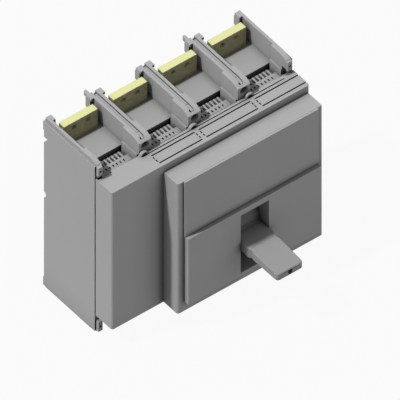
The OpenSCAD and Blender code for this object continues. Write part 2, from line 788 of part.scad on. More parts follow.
// Handle: a flat blade on a hub, with the curved shutter behind it
module handle() color(panel_grey) {
    difference() {
        translate([handle_x, 0, 0]) intersection() {
            across(handle_root_w + 10) handle_profile();
            translate([0, 0, hub_low - 1]) linear_extrude(height = hub_top - hub_low + 2) handle_plan();
        }
        bore_y(handle_x, tip_top - handle_tip_t / 2, tip_hole_r,
            -handle_tip_y - 1, -handle_tip_y + tip_hole_depth);
    }
    reach = 2 * shutter_r * [-cos(shutter_sweep), sin(shutter_sweep)];
    translate([handle_x, 0, 0]) across(2 * yoke_leg_in + 6) translate(handle_pos) intersection() {
        difference() { circle(shutter_r); circle(shutter_r - shutter_t); }
        polygon([[0, 0], reach, [2 * reach[0], reach[1]], [2 * reach[0], -reach[1]], [reach[0], -reach[1]]]);
    }
}

module handle_yoke() color(steel) {
    difference() {
        across_pair(yoke_leg_in, yoke_leg_t) union() {
            translate(handle_pos) circle(8);
            translate(handle_pos - [yoke_r, yoke_half]) square([yoke_r, 2 * yoke_half]);
        }
        pin_x(handle_pos, pivot_pin_r + run_gap, 0, 70);
    }
    translate([handle_x, handle_pos[0] - yoke_r + yoke_t / 2, handle_pos[1]])
        cube([2 * yoke_leg_in + 1, yoke_t, 2 * yoke_half], center = true);
}

// Insulating shaft that carries all four contact arms and the cranks
module contact_shaft() color(moulding) difference() {
    union() {
        pin_x(shaft_pos, journal_r, -half_w + side_t + 2, half_w - side_t - 2);
        at_poles() pin_x(shaft_pos, shaft_r, -chamber_half + 1, chamber_half - 1);
        across_pair(crank_in, crank_t) link_2d(shaft_pos, crank_pos, link_end_r);
    }
    pin_x(crank_pos, toggle_pin_r + run_gap, handle_x - 20, handle_x + 20);
    across_pair(crank_in + crank_t, lower_link_in + link_t + seat_gap - crank_in - crank_t)
        translate(shaft_pos) difference() {
            circle(shaft_r + 1);
            circle(journal_r);
        }
    at_poles() translate([0, shaft_pos[0], shaft_pos[1]]) rotate([handle_swing, 0, 0]) rotate([-arm_lean, 0, 0])
        cube([arm_w + 0.2, 2 * arm_half_t + 0.2, 60], center = true);
}

// Contact arm, drawn closed about the shaft's axis and turned to its place
module contact_arm(n) translate([pole_x[n - 1], shaft_pos[0], shaft_pos[1]]) rotate([handle_swing, 0, 0]) {
    head = arm_back + shaft_y;
    low = contact_up - pad_h / 2;
    high = contact_up + pad_h / 2;
    color(brass_yellow) across(arm_w) polygon([
        arm_point(-arm_tail, arm_half_t), arm_point(33, arm_half_t), [head, low - 1.5],
        [head, high + 1.5], [head - 7, high + 3],
        arm_point(47, -arm_half_t), arm_point(-arm_tail, -arm_half_t)
    ]);
    color(silver) box([-arm_w / 2, head - eps, low], [arm_w / 2, head + pad_t, high]);
}

function arm_point(along, side) =
    [along * sin(arm_lean) + side * cos(arm_lean), along * cos(arm_lean) - side * sin(arm_lean)];

module crank_pins() color(steel) for (s = [-1, 1]) {
    a = handle_x + s * crank_in;
    b = handle_x + s * (lower_link_in + link_t);
    pin_x(crank_pos, toggle_pin_r, min(a, b), max(a, b));
}

module lower_links() color(steel) across_pair(lower_link_in, link_t) difference() {
    link_2d(crank_pos, toggle_pos, lower_link_end_r);
    for (p = [crank_pos, toggle_pos]) translate(p) circle(toggle_pin_r + run_gap);
}

module toggle_pin() color(steel)
    pin_x(toggle_pos, toggle_pin_r, handle_x - lower_link_in - link_t, handle_x + lower_link_in + link_t);

module upper_links() color(steel) across_pair(upper_link_in, link_t) difference() {
    link_2d(link_pos, toggle_pos, link_end_r);
    translate(link_pos) circle(toggle_pin_r + run_gap);
    translate(toggle_pos) circle(toggle_pin_r + 0.6);
}

// Latched lever that carries the upper links, with a nose at its front
module cradle() color(steel) {
    nose = [-117.5, -20];
    difference() {
        union() {
            across_pair(cradle_in, cradle_t) {
                link_2d(cradle_pos, link_pos, link_end_r);
                link_2d(cradle_pos, nose, 3.5);
                translate(cradle_pos) circle(7);
            }
            pin_x(cradle_pos, 5.5, handle_x - cradle_in - 0.5, handle_x + cradle_in + 0.5);
        }
        pin_x(cradle_pos, cradle_pin_r + run_gap, handle_x - 20, handle_x + 20);
        pin_x(link_pos, toggle_pin_r + run_gap, handle_x - 20, handle_x + 20);
    }
}

module cradle_pins() color(steel) for (s = [-1, 1]) {
    a = handle_x + s * cradle_in;
    b = handle_x + s * (upper_link_in + link_t);
    pin_x(link_pos, toggle_pin_r, min(a, b), max(a, b));
}

// Two coiled springs from the toggle pin to the yoke
module main_springs() color(steel) {
    start = toggle_pos;
    end = handle_pos - [yoke_r - yoke_t, 0];
    d = end - start;
    gap_start = toggle_pin_r + seat_gap;
    length = norm(d) - gap_start - 3.3 - seat_gap;
    coils = 16;
    pitch = length / coils;
    valley_r = 2.6;
    crest_r = 3.3;
    outline = [for (i = [0 : 2 * coils]) [i % 2 == 0 ? valley_r : crest_r, i * pitch / 2]];
    for (s = [-1, 1]) translate([handle_x + s * 4.2, start[0], start[1]])
        rotate([atan2(d[1], d[0]) - 90, 0, 0]) translate([0, 0, gap_start]) rotate_extrude($fn = 24)
            polygon(concat([[0, 0]], outline, [[0, length]]));
}

// Trip bar: a rod with two arms in front of the cradle's nose
module trip_bar() color(dark_grey) {
    nose_y = -121.6;
    pin_x(trip_pos, trip_rod_r, handle_x - plate_in - plate_t - 2, trip_x0 + 5);
    across_pair(cradle_in, cradle_t) union() {
        translate(trip_pos) circle(5);
        polygon([
            [nose_y, -16], [nose_y, -36], trip_pos + [2, 4], trip_pos + [-4, -2],
            [nose_y - 4, -38], [nose_y - 4, -16]
        ]);
    }
}

base();
front_case();
raised_cover();
upper_panel();
lower_panel();
vent_comb(1);  // vent_comb_1
vent_comb(2);  // vent_comb_2
vent_comb(3);  // vent_comb_3
vent_comb(4);  // vent_comb_4
line_terminal(1);  // line_terminal_1
line_terminal(2);  // line_terminal_2
line_terminal(3);  // line_terminal_3
line_terminal(4);  // line_terminal_4
load_terminal(1);  // load_terminal_1
load_terminal(2);  // load_terminal_2
load_terminal(3);  // load_terminal_3
load_terminal(4);  // load_terminal_4
fixed_contacts();
arc_chute_cheeks();
arc_plates(1);  // arc_plates_1
arc_plates(2);  // arc_plates_2
arc_plates(3);  // arc_plates_3
arc_plates(4);  // arc_plates_4
current_sensor(1);  // current_sensor_1
current_sensor(2);  // current_sensor_2
current_sensor(3);  // current_sensor_3
current_sensor(4);  // current_sensor_4
braid(1);  // braid_1
braid(2);  // braid_2
braid(3);  // braid_3
braid(4);  // braid_4
trip_unit();
shaft_bearings();
side_plate_left();
side_plate_right();
handle_pivot_pins();
cradle_pivot_pin();
case_screws();
handle();
handle_yoke();
contact_shaft();
contact_arm(1);  // contact_arm_1
contact_arm(2);  // contact_arm_2
contact_arm(3);  // contact_arm_3
contact_arm(4);  // contact_arm_4
crank_pins();
lower_links();
toggle_pin();
upper_links();
cradle();
cradle_pins();
main_springs();
trip_bar();
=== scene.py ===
# %% [markdown]
# # A molded case circuit breaker
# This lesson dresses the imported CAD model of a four-pole breaker. The CAD nodes
# already have their true shapes and places, so Blender brings the camera, the
# light, the finishes and the small soft details that exact CAD leaves out.
# Everything is in metres, and the front of the breaker faces -Y.

# %% Load the frame
import bpy
import json
import math
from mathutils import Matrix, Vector
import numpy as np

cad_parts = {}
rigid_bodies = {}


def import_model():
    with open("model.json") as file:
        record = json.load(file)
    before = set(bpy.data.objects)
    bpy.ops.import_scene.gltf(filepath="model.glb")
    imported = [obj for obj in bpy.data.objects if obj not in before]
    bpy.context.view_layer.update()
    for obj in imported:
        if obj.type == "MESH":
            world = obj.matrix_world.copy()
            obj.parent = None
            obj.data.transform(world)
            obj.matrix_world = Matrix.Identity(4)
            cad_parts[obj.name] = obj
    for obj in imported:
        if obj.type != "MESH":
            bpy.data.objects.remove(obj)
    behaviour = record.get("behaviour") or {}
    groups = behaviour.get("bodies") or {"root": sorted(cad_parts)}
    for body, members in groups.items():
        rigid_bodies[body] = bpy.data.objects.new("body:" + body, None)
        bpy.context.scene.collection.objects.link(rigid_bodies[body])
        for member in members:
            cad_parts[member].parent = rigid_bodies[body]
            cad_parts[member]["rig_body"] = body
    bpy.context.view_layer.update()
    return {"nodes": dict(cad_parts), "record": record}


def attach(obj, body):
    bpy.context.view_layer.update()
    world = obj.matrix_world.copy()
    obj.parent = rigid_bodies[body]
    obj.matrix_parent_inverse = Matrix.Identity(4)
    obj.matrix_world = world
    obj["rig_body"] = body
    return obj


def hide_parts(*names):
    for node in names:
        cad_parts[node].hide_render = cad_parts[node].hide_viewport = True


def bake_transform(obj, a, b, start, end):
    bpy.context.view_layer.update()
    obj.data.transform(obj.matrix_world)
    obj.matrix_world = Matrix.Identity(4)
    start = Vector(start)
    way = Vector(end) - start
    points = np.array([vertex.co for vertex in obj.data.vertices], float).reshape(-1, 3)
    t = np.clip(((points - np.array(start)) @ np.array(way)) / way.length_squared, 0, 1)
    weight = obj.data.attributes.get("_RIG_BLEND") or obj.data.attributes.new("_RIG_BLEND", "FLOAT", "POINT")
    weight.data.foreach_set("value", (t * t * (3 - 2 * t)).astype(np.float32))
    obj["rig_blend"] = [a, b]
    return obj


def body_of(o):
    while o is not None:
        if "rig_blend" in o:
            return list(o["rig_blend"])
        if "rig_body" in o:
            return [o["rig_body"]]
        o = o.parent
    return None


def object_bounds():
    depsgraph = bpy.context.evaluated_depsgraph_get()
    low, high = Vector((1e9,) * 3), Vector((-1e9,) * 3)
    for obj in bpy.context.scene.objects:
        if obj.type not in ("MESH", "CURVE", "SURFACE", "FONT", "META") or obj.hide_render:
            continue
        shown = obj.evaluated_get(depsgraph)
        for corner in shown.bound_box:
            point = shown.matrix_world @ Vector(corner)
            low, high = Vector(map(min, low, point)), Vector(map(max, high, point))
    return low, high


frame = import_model()
record = frame["record"]
nodes = frame["nodes"]
MM = 0.001

# %% [markdown]
# The photograph is a parallel view from the upper left: nothing in it converges.
# So the camera is orthographic. It looks along one direction that was solved
# from the edges of the case, and its width gives the scale, 0.896 pixel per mm.

# %% Camera
VIEW_CENTRE = Vector((-2.44, -108.6, 4.75)) * MM
VIEW_DIRECTION = Vector((0.43534, 0.55721, -0.70711))
VIEW_WIDTH = 446.43 * MM
CAMERA_BACK = 1.2

camera_data = bpy.data.cameras.new("camera")
camera_data.type = "ORTHO"
camera_data.ortho_scale = VIEW_WIDTH
camera_data.clip_end = 10
camera = bpy.data.objects.new("camera", camera_data)
bpy.context.scene.collection.objects.link(camera)
camera.location = VIEW_CENTRE - VIEW_DIRECTION.normalized() * CAMERA_BACK
camera.rotation_euler = VIEW_DIRECTION.to_track_quat("-Z", "Y").to_euler()
bpy.context.scene.camera = camera
bpy.context.scene.view_settings.view_transform = "Standard"
print("camera at", [round(v, 3) for v in camera.location])

# %% [markdown]
# The light is plain and soft. A weak white world fills every side. A key sun from
# the upper left, slightly behind the front, makes top faces brightest and left
# faces a little darker. A wide fill sun from the right lights the front without
# a hard shadow. The shadow that the front case throws on the raised cover's left
# flank gave the key's direction: its edge slants down from the top corner, and
# its blur gave the sun's width. The camera sees a pale background that is not
# part of the light, so the world is mixed by the kind of ray.

# %% Light
world = bpy.data.worlds.new("studio")
bpy.context.scene.world = world
world.use_nodes = True
world_nodes = world.node_tree.nodes
world_links = world.node_tree.links
FILL_STRENGTH = 0.25
LAMP_DISTANCE = 2
WHITE = (0.965, 0.967, 0.97, 1)
background = world_nodes["Background"]
background.inputs["Color"].default_value = (1, 1, 1, 1)
background.inputs["Strength"].default_value = FILL_STRENGTH
seen = world_nodes.new("ShaderNodeBackground")
seen.inputs["Color"].default_value = WHITE
seen.inputs["Strength"].default_value = 1


def background_rays(node_tree):
    """1 for the rays of the camera and of mirror-like surfaces, 0 for the light itself."""
    path = node_tree.nodes.new("ShaderNodeLightPath")
    found = path.outputs["Is Camera Ray"]
    for kind in ("Is Glossy Ray", "Is Transmission Ray"):
        either = node_tree.nodes.new("ShaderNodeMath")
        either.operation = "MAXIMUM"
        node_tree.links.new(found, either.inputs[0])
        node_tree.links.new(path.outputs[kind], either.inputs[1])
        found = either.outputs["Value"]
    return found


pick = world_nodes.new("ShaderNodeMixShader")
world_links.new(background_rays(world.node_tree), pick.inputs["Fac"])
world_links.new(background.outputs["Background"], pick.inputs[1])
world_links.new(seen.outputs["Background"], pick.inputs[2])
world_links.new(pick.outputs["Shader"], world_nodes["World Output"].inputs["Surface"])


def add_sun(name, towards, strength, width_deg):
    """A sun that shines from the direction TOWARDS, which points at the sun."""
    data = bpy.data.lights.new(name, "SUN")
    data.energy = strength
    data.angle = math.radians(width_deg)
    lamp = bpy.data.objects.new(name, data)
    bpy.context.scene.collection.objects.link(lamp)
    lamp.rotation_euler = Vector(towards).to_track_quat("Z", "Y").to_euler()
    lamp.location = Vector(towards).normalized() * LAMP_DISTANCE


add_sun("key", towards=(-0.537, 0.113, 0.836), strength=2.95, width_deg=3)
add_sun("fill", towards=(0.5, -0.8, 0.3), strength=0.48, width_deg=60)
print("a world at", FILL_STRENGTH, "and", len(bpy.data.lights), "suns")

# %% [markdown]
# The floor is a plain pale sheet. What the camera sees of it is mostly its own
# white, so that it stays plain, and a part of it is lit, so that it keeps a
# soft shadow under the object.

# %% Floor
FLOOR_SIZE, FLOOR_TONE, FLOOR_OWN_WHITE = 6, 0.26, 0.94
floor_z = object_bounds()[0][2]
bpy.ops.mesh.primitive_plane_add(size=FLOOR_SIZE, location=(0, 0, floor_z))
floor = bpy.context.object
floor.name = "floor"
floor_material = bpy.data.materials.new("floor")
floor_material.use_nodes = True
tree = floor_material.node_tree
lit = tree.nodes["Principled BSDF"]
lit.inputs["Base Color"].default_value = (FLOOR_TONE, FLOOR_TONE, FLOOR_TONE, 1)
lit.inputs["Roughness"].default_value = 0.9
own = tree.nodes.new("ShaderNodeEmission")
own.inputs["Color"].default_value = (1, 1, 1, 1)
share = tree.nodes.new("ShaderNodeMath")
share.operation = "MULTIPLY"
share.inputs[1].default_value = FLOOR_OWN_WHITE
blend_floor = tree.nodes.new("ShaderNodeMixShader")
tree.links.new(background_rays(tree), share.inputs[0])
tree.links.new(share.outputs["Value"], blend_floor.inputs["Fac"])
tree.links.new(lit.outputs["BSDF"], blend_floor.inputs[1])
tree.links.new(own.outputs["Emission"], blend_floor.inputs[2])
tree.links.new(blend_floor.outputs["Shader"], tree.nodes["Material Output"].inputs["Surface"])
floor.data.materials.append(floor_material)
print("floor at z", round(floor_z / MM, 1), "mm")

# %% [markdown]
# The finishes come from shader node groups. A group is built once, and each
# material uses it with its own values. These helpers make an empty group, a
# noise, a sum or product, and a colour that is made lighter or darker.

# %% Helpers for shader groups
FLOAT, COLOUR = "NodeSocketFloat", "NodeSocketColor"


def new_group(name, inputs, outputs):
    """An empty shader group with named sockets: inputs are (name, kind, value)."""
    group = bpy.data.node_groups.new(name, "ShaderNodeTree")
    for label, kind, value in inputs:
        socket = group.interface.new_socket(label, in_out="INPUT", socket_type=kind)
        socket.default_value = value
    for label, kind in outputs:
        group.interface.new_socket(label, in_out="OUTPUT", socket_type=kind)
    return group, group.nodes.new("NodeGroupInput"), group.nodes.new("NodeGroupOutput")


def noise(tree, scale, detail, coordinates, roughness=0.5):
    node = tree.nodes.new("ShaderNodeTexNoise")
    node.inputs["Scale"].default_value = scale
    node.inputs["Detail"].default_value = detail
    node.inputs["Roughness"].default_value = roughness
    tree.links.new(coordinates, node.inputs["Vector"])
    return node.outputs["Fac"]


def maths(tree, operation, a, b):
    node = tree.nodes.new("ShaderNodeMath")
    node.operation = operation
    for socket, value in zip(node.inputs, (a, b)):
        if isinstance(value, (int, float)):
            socket.default_value = value
        else:
            tree.links.new(value, socket)
    return node.outputs["Value"]


def tinted(tree, colour, shade):
    """The colour made lighter or darker by a value about 1."""
    node = tree.nodes.new("ShaderNodeVectorMath")
    node.operation = "SCALE"
    tree.links.new(colour, node.inputs[0])
    tree.links.new(shade, node.inputs["Scale"])
    return node.outputs["Vector"]


def change_by(tree, pattern, amount):
    """A pattern of 0 to 1, turned into a change about 0 that is as large as AMOUNT."""
    return maths(tree, "MULTIPLY", maths(tree, "SUBTRACT", pattern, 0.5), amount)


def give_finish(tree, taken, given, main_change, other_change, height):
    """Links the group's outputs. Colour follows both changes, roughness the main one."""
    change = maths(tree, "MULTIPLY", maths(tree, "ADD", main_change, other_change), 2)
    # Here the painted shade from recesses darkens the colour.
    shade = maths(tree, "MULTIPLY", maths(tree, "ADD", change, 1), taken.outputs["Painted_shade"])
    tree.links.new(tinted(tree, taken.outputs["Colour"], shade), given.inputs["Colour"])
    rough_change = maths(tree, "MULTIPLY", main_change, 2)
    rough = maths(tree, "ADD", taken.outputs["Roughness"], rough_change)
    tree.links.new(rough, given.inputs["Roughness"])
    tree.links.new(height, given.inputs["Height"])


# %% [markdown]
# Moulded thermoset is never quite one colour. It has a fine sparkle of filler,
# and slow clouds of tone where the material flowed. Both are noise on Object
# coordinates, at about 0.4 mm and 55 mm, so they keep their scale on every piece.

# %% Shader group for moulded plastic
CLOUD_SCALE, SPARKLE_SCALE = 18, 2600
moulded_group, taken, given = new_group(
    "moulded_finish",
    [
        ("Colour", COLOUR, (0.4, 0.4, 0.4, 1)),
        ("Clouds", FLOAT, 0.03),
        ("Sparkle", FLOAT, 0.04),
        ("Roughness", FLOAT, 0.5),
        ("Painted_shade", FLOAT, 1),
    ],
    [("Colour", COLOUR), ("Roughness", FLOAT), ("Height", FLOAT)],
)
place = moulded_group.nodes.new("ShaderNodeTexCoord").outputs["Object"]
clouds = noise(moulded_group, CLOUD_SCALE, 3, place)
sparkle = noise(moulded_group, SPARKLE_SCALE, 2, place, 0.7)
cloud_change = change_by(moulded_group, clouds, taken.outputs["Clouds"])
sparkle_change = change_by(moulded_group, sparkle, taken.outputs["Sparkle"])
give_finish(moulded_group, taken, given, cloud_change, sparkle_change, sparkle)
print("moulded finish,", len(moulded_group.nodes), "nodes")

# %% [markdown]
# Colours are written as a screen shows them, from 0 to 1, and turned into the
# linear values that the shaders take.

# %% Colours


def srgb(value):
    """Linear value of a colour channel that is read off a screen, 0 to 1."""
    return value / 12.92 if value <= 0.04045 else ((value + 0.055) / 1.055) ** 2.4


def colour_of(r, g, b):
    return (srgb(r), srgb(g), srgb(b), 1)


# %% [markdown]
# In the photograph, slots, corners and bays are darker than plain light leaves
# them, and most of all on faces that look forwards. The finish paints this shade
# into the colour: painted shade in recesses, and more of it on faces that look
# forwards. Ambient occlusion measures how closed in a place is, wherever the
# camera stands. It is taken at two distances, one for creases and one for whole
# corners. Its nodes stay in the material, outside the group.

# %% Painted shade in recesses
CREASE_REACH, CORNER_REACH = 9 * MM, 45 * MM
CORNER_SHARE = 0.45
# Faces that look forwards get this much more painted shade.
FRONT_SHADE = 1.6
RAYS = 6


def painted_recess_shade(tree, group, shade_strength):
    """Feeds the group with painted shade: 1 on a free face, darker in a recess, most of all looking
    forwards.
    """
    reaches = []
    for reach in (CREASE_REACH, CORNER_REACH):
        node = tree.nodes.new("ShaderNodeAmbientOcclusion")
        node.samples = RAYS
        node.inputs["Distance"].default_value = reach
        reaches.append(node.outputs["AO"])
    both = maths(tree, "MULTIPLY", reaches[0], maths(tree, "POWER", reaches[1], CORNER_SHARE))
    parts = tree.nodes.new("ShaderNodeSeparateXYZ")
    tree.links.new(tree.nodes.new("ShaderNodeTexCoord").outputs["Normal"], parts.inputs["Vector"])
    forwards = maths(tree, "MAXIMUM", maths(tree, "MULTIPLY", parts.outputs["Y"], -1), 0)
    strength = maths(tree, "ADD", maths(tree, "MULTIPLY", forwards, FRONT_SHADE * shade_strength), shade_strength)
    tree.links.new(maths(tree, "POWER", both, strength), group.inputs["Painted_shade"])


# %% [markdown]
# A moulding is a plain plastic shader. The group gives its colour, its roughness
# and the height of a very fine bump, and the shine is low, as on thermoset.

# %% Moulded plastic


def bump_from(tree, height, shader, strength, depth_mm):
    node = tree.nodes.new("ShaderNodeBump")
    node.inputs["Strength"].default_value = strength
    node.inputs["Distance"].default_value = depth_mm * MM
    tree.links.new(height, node.inputs["Height"])
    tree.links.new(node.outputs["Normal"], shader.inputs["Normal"])


def moulded(name, colour, roughness=0.55, clouds=0.03, sparkle=0.05, shade_strength=0.55):
    material = bpy.data.materials.new(name)
    material.use_nodes = True
    tree = material.node_tree
    shader = tree.nodes["Principled BSDF"]
    group = tree.nodes.new("ShaderNodeGroup")
    group.node_tree = moulded_group
    group.inputs["Colour"].default_value = colour_of(*colour)
    group.inputs["Clouds"].default_value = clouds
    group.inputs["Sparkle"].default_value = sparkle
    group.inputs["Roughness"].default_value = roughness
    # Painted shade in recesses and on faces that look forwards darkens the colour.
    painted_recess_shade(tree, group, shade_strength)
    tree.links.new(group.outputs["Colour"], shader.inputs["Base Color"])
    tree.links.new(group.outputs["Roughness"], shader.inputs["Roughness"])
    shader.inputs["Specular IOR Level"].default_value = 0.2
    bump_from(tree, group.outputs["Height"], shader, strength=0.15, depth_mm=0.05)
    return material


# %% [markdown]
# Metal parts are plated or bare. Their group draws fine lines along one
# direction, as rolling and brushing leave them, with a few darker stains.

# %% Shader group for metal
LINE_SCALE = (60, 1500, 1500)
STAIN_SCALE = 45
metal_group, taken, given = new_group(
    "metal_finish",
    [
        ("Colour", COLOUR, (0.6, 0.6, 0.6, 1)),
        ("Lines", FLOAT, 0.05),
        ("Stain", FLOAT, 0.05),
        ("Roughness", FLOAT, 0.35),
        ("Painted_shade", FLOAT, 1),
    ],
    [("Colour", COLOUR), ("Roughness", FLOAT), ("Height", FLOAT)],
)
place = metal_group.nodes.new("ShaderNodeTexCoord").outputs["Object"]
stretch = metal_group.nodes.new("ShaderNodeMapping")
stretch.inputs["Scale"].default_value = LINE_SCALE
metal_group.links.new(place, stretch.inputs["Vector"])
lines = noise(metal_group, 1, 3, stretch.outputs["Vector"], 0.6)
stain = noise(metal_group, STAIN_SCALE, 3, place)
line_change = change_by(metal_group, lines, taken.outputs["Lines"])
stain_change = change_by(metal_group, stain, taken.outputs["Stain"])
give_finish(metal_group, taken, given, line_change, stain_change, lines)
print("metal finish,", len(metal_group.nodes), "nodes")


def metal(name, colour, metallic=1.0, roughness=0.35, lines=0.06, stain=0.05, shade_strength=0.4):
    material = bpy.data.materials.new(name)
    material.use_nodes = True
    tree = material.node_tree
    shader = tree.nodes["Principled BSDF"]
    group = tree.nodes.new("ShaderNodeGroup")
    group.node_tree = metal_group
    group.inputs["Colour"].default_value = colour_of(*colour)
    group.inputs["Lines"].default_value = lines
    group.inputs["Stain"].default_value = stain
    group.inputs["Roughness"].default_value = roughness
    # Painted shade in recesses and on faces that look forwards darkens the colour.
    painted_recess_shade(tree, group, shade_strength)
    tree.links.new(group.outputs["Colour"], shader.inputs["Base Color"])
    tree.links.new(group.outputs["Roughness"], shader.inputs["Roughness"])
    shader.inputs["Metallic"].default_value = metallic
    bump_from(tree, group.outputs["Height"], shader, strength=0.1, depth_mm=0.03)
    return material


# %% [markdown]
# The terminal bars are cut from brass sheet. Their sawn ends and edges are
# bright. The wide faces that look forwards or back are a dull olive with darker
# blotches: partly a dull coat on the rolled faces, and partly painted shade. The
# mask is on those faces, broken up by noise, and it mixes the bright metal with
# the duller colour. The bars look dull and even in the photograph, so the shader
# isn't metallic.

# %% Terminal brass
BRASS_EDGE, BRASS_FILM_AND_SHADE = (0.87, 0.87, 0.63), (0.53, 0.51, 0.37)
BLOTCH_SCALE = 160
FILM_AND_SHADE_CONTRAST, FILM_AND_SHADE_LEAST = 1.4, 0.25


def terminal_brass():
    material = metal("terminal_brass", BRASS_EDGE, metallic=0.0, roughness=0.42, lines=0.03, stain=0.03)
    tree = material.node_tree
    shader = tree.nodes["Principled BSDF"]
    surface = tree.nodes.new("ShaderNodeTexCoord")
    parts = tree.nodes.new("ShaderNodeSeparateXYZ")
    tree.links.new(surface.outputs["Normal"], parts.inputs["Vector"])
    # Faces that look forwards or back get the dull coat and painted shade.
    on_face = maths(tree, "ABSOLUTE", parts.outputs["Y"], 0)
    blotches = noise(tree, BLOTCH_SCALE, 4, surface.outputs["Object"], 0.6)
    patchy = maths(tree, "ADD", maths(tree, "MULTIPLY", blotches, FILM_AND_SHADE_CONTRAST), FILM_AND_SHADE_LEAST)
    film_and_shade = maths(tree, "MINIMUM", maths(tree, "MULTIPLY", on_face, patchy), 1)
    mix = tree.nodes.new("ShaderNodeMix")
    mix.data_type = "RGBA"
    metal_colour = tree.nodes["Group"].outputs["Colour"]
    tree.links.new(film_and_shade, mix.inputs["Factor"])
    tree.links.new(metal_colour, mix.inputs["A"])
    mix.inputs["B"].default_value = colour_of(*BRASS_FILM_AND_SHADE)
    tree.links.new(mix.outputs["Result"], shader.inputs["Base Color"])
    return material


# %% [markdown]
# Each slot of the record gets its finish. Grey mouldings are all near one tone,
# as the photograph shows them. The steel, silver and copper and the dark and
# brown insulating parts are inside, where the photograph shows nothing, and have
# their usual colours. Every CAD node takes the finish of its slot, also where a
# softened piece replaces it.

# %% Materials by slot
finishes = {
    "case_moulding": moulded("case_moulding", (0.665, 0.665, 0.665)),
    "front_panel": moulded("front_panel", (0.665, 0.665, 0.668)),
    "handle_moulding": moulded("handle_moulding", (0.59, 0.59, 0.593)),
    "dark_moulding": moulded("dark_moulding", (0.16, 0.16, 0.17), roughness=0.5),
    "insulating_moulding": moulded("insulating_moulding", (0.40, 0.27, 0.18), roughness=0.6),
    "terminal_brass": terminal_brass(),
    "arm_brass": metal("arm_brass", (0.80, 0.62, 0.38)),
    "contact_silver": metal("contact_silver", (0.86, 0.86, 0.84)),
    "mechanism_steel": metal("mechanism_steel", (0.70, 0.71, 0.72)),
    "pin_steel": metal("pin_steel", (0.76, 0.77, 0.79), roughness=0.25),
    "spring_steel": metal("spring_steel", (0.64, 0.65, 0.67), roughness=0.3),
    "screw_steel": metal("screw_steel", (0.74, 0.75, 0.77)),
    "chute_steel": metal("chute_steel", (0.66, 0.67, 0.69), roughness=0.45),
    "braid_copper": metal("braid_copper", (0.76, 0.46, 0.30), roughness=0.45),
}
for part in record["subparts"]:
    shown = nodes[part["node"]]
    shown.data.materials.clear()
    shown.data.materials.append(finishes[part["material_slot"]])
print(len(finishes), "finishes on", len(record["subparts"]), "nodes")

# %% [markdown]
# Exact CAD edges are razor sharp, and nothing that comes out of a mould is. So
# the mouldings and the terminal bars get a soft edge: the CAD mesh is copied,
# its loose triangles are merged and its flat faces made whole again, and then
# every sharp edge is selected and bevelled by a few tenths of a millimetre.
# Weighted normals then keep the wide faces flat in shading beside their bevels.
# Edges that lie in a joint between two mouldings are left sharp, because a
# bevel there would open a groove that the real joint doesn't show.

# %% Helpers for soft edges
slots = {part["node"]: part["material_slot"] for part in record["subparts"]}
SHARP_DEG, SMOOTH_DEG = 30, 40
MERGE_DISTANCE = 0.002 * MM
FLAT_DEG = 0.5
PLANE_REACH = 0.05 * MM


def only(obj):
    """Selects this object and nothing else, ready for an operator."""
    bpy.ops.object.select_all(action="DESELECT")
    obj.select_set(True)
    bpy.context.view_layer.objects.active = obj


def select_edges(obj, wanted):
    """Selects the edges whose two end points both pass the test WANTED."""
    only(obj)
    bpy.ops.object.mode_set(mode="EDIT")
    bpy.ops.mesh.select_mode(type="EDGE")
    bpy.ops.mesh.select_all(action="DESELECT")
    bpy.ops.object.mode_set(mode="OBJECT")
    points = [vertex.co for vertex in obj.data.vertices]
    for edge in obj.data.edges:
        edge.select = all(wanted(points[i]) for i in edge.vertices)
    bpy.ops.object.mode_set(mode="EDIT")


def soften(obj, edge_mm, joint_y=None):
    """Bevels the sharp edges by EDGE_MM, but none in the plane y = JOINT_Y, and smooths."""
    only(obj)
    bpy.ops.object.mode_set(mode="EDIT")
    bpy.ops.mesh.select_mode(type="EDGE")
    bpy.ops.mesh.select_all(action="DESELECT")
    bpy.ops.mesh.edges_select_sharp(sharpness=math.radians(SHARP_DEG))
    bpy.ops.object.mode_set(mode="OBJECT")
    if joint_y is not None:
        points = [vertex.co for vertex in obj.data.vertices]
        for edge in obj.data.edges:
            if all(abs(points[i].y - joint_y) < PLANE_REACH for i in edge.vertices):
                edge.select = False
    bpy.ops.object.mode_set(mode="EDIT")
    bpy.ops.mesh.bevel(offset=edge_mm * MM, segments=2, affect="EDGES", clamp_overlap=False)
    bpy.ops.object.mode_set(mode="OBJECT")
    bpy.ops.object.shade_smooth_by_angle(angle=math.radians(SMOOTH_DEG))
    flat_first = obj.modifiers.new("flat_faces_first", "WEIGHTED_NORMAL")
    flat_first.keep_sharp = True
    bpy.ops.object.modifier_apply(modifier="flat_faces_first")


def stand_in(obj, node):
    """The piece OBJ takes the place of a CAD node: its body, slot and material."""
    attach(obj, body_of(nodes[node])[0])
    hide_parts(node)
    obj.data.materials.clear()
    obj.data.materials.append(finishes[slots[node]])


def merged_copy(node, name):
    """A copy of a CAD node with its loose triangles merged into whole faces."""
    obj = bpy.data.objects.new(name, nodes[node].data.copy())
    bpy.context.scene.collection.objects.link(obj)
    only(obj)
    bpy.ops.object.mode_set(mode="EDIT")
    bpy.ops.mesh.select_all(action="SELECT")
    bpy.ops.mesh.remove_doubles(threshold=MERGE_DISTANCE)
    bpy.ops.mesh.dissolve_limited(angle_limit=math.radians(FLAT_DEG))
    bpy.ops.object.mode_set(mode="OBJECT")
    return obj


def corners_of(obj):
    """The lowest and the highest corner of a mesh's box."""
    points = [vertex.co for vertex in obj.data.vertices]
    return (Vector([min(p[i] for p in points) for i in range(3)]),
            Vector([max(p[i] for p in points) for i in range(3)]))


def combine(obj, other, operation):
    """Adds, cuts or intersects the piece with another shape, which is then deleted."""
    only(obj)
    change = obj.modifiers.new("change", "BOOLEAN")
    change.operation = operation
    change.solver = "EXACT"
    change.object = other
    bpy.ops.object.modifier_apply(modifier="change")
    bpy.data.objects.remove(other)


def cut(obj, cutter):
    combine(obj, cutter, "DIFFERENCE")


